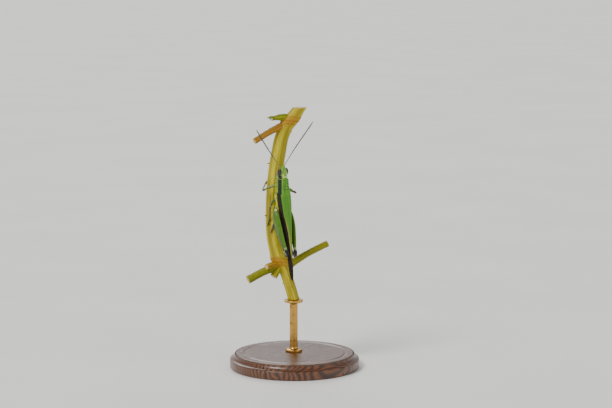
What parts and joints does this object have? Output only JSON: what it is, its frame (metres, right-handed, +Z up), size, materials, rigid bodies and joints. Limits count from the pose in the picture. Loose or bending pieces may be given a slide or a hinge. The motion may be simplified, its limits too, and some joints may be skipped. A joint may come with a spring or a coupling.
{
  "type": "grasshopper display model",
  "caption": "Life-size slender green grasshopper clinging head up to a cut length of woody stem, held by a brass rod on a round wooden base.",
  "frame": {"origin": "centre of the base's underside, on the surface it stands on", "axes": "+Z up along the stem towards the insect's head; -Y the side that the insect's back faces; -X the insect's left side"},
  "size_m": [0.04, 0.04, 0.0805],
  "materials": {
    "head": "satin green cuticle, black band behind each eye",
    "mouthparts": "satin olive cuticle",
    "eye": "glossy near-black compound eye",
    "antenna": "dark brown, paler at the root",
    "pronotum": "satin green cuticle, black side band over yellow-green",
    "underside": "satin yellow-green cuticle",
    "abdomen": "satin olive-yellow cuticle with banded rings",
    "forewing": "leathery wing, green back field and dark brown side field",
    "walking_leg": "satin olive to brown cuticle",
    "foot": "satin dark olive-brown cuticle",
    "hind_femur": "satin grass-green cuticle, black knee with a pale spot",
    "hind_tibia": "satin near-black cuticle with pale ring",
    "bark": "straw-yellow ribbed bark, red-brown joints",
    "stand_wood": "dark turned wood, waxed",
    "stand_metal": "satin brass"
  },
  "bodies": {
    "root": {"head": "head", "mouthparts": "mouthparts", "eye_L": "eye", "eye_R": "eye", "antenna_L": "antenna", "antenna_R": "antenna", "pronotum": "pronotum", "prosternum": "underside", "thorax": "underside", "abdomen": "abdomen", "forewing_L": "forewing", "forewing_R": "forewing", "fore_femur_L": "walking_leg", "fore_femur_R": "walking_leg", "fore_tibia_L": "walking_leg", "fore_tibia_R": "walking_leg", "fore_tarsus_L": "foot", "fore_tarsus_R": "foot", "middle_femur_L": "walking_leg", "middle_femur_R": "walking_leg", "middle_tibia_L": "walking_leg", "middle_tibia_R": "walking_leg", "middle_tarsus_L": "foot", "middle_tarsus_R": "foot", "hind_femur_L": "hind_femur", "hind_femur_R": "hind_femur", "hind_tibia_L": "hind_tibia", "hind_tibia_R": "hind_tibia", "hind_tarsus_L": "foot", "hind_tarsus_R": "foot", "perch_stem": "bark", "stand_base": "stand_wood", "stand_rod": "stand_metal"}
  },
  "joints": []
}
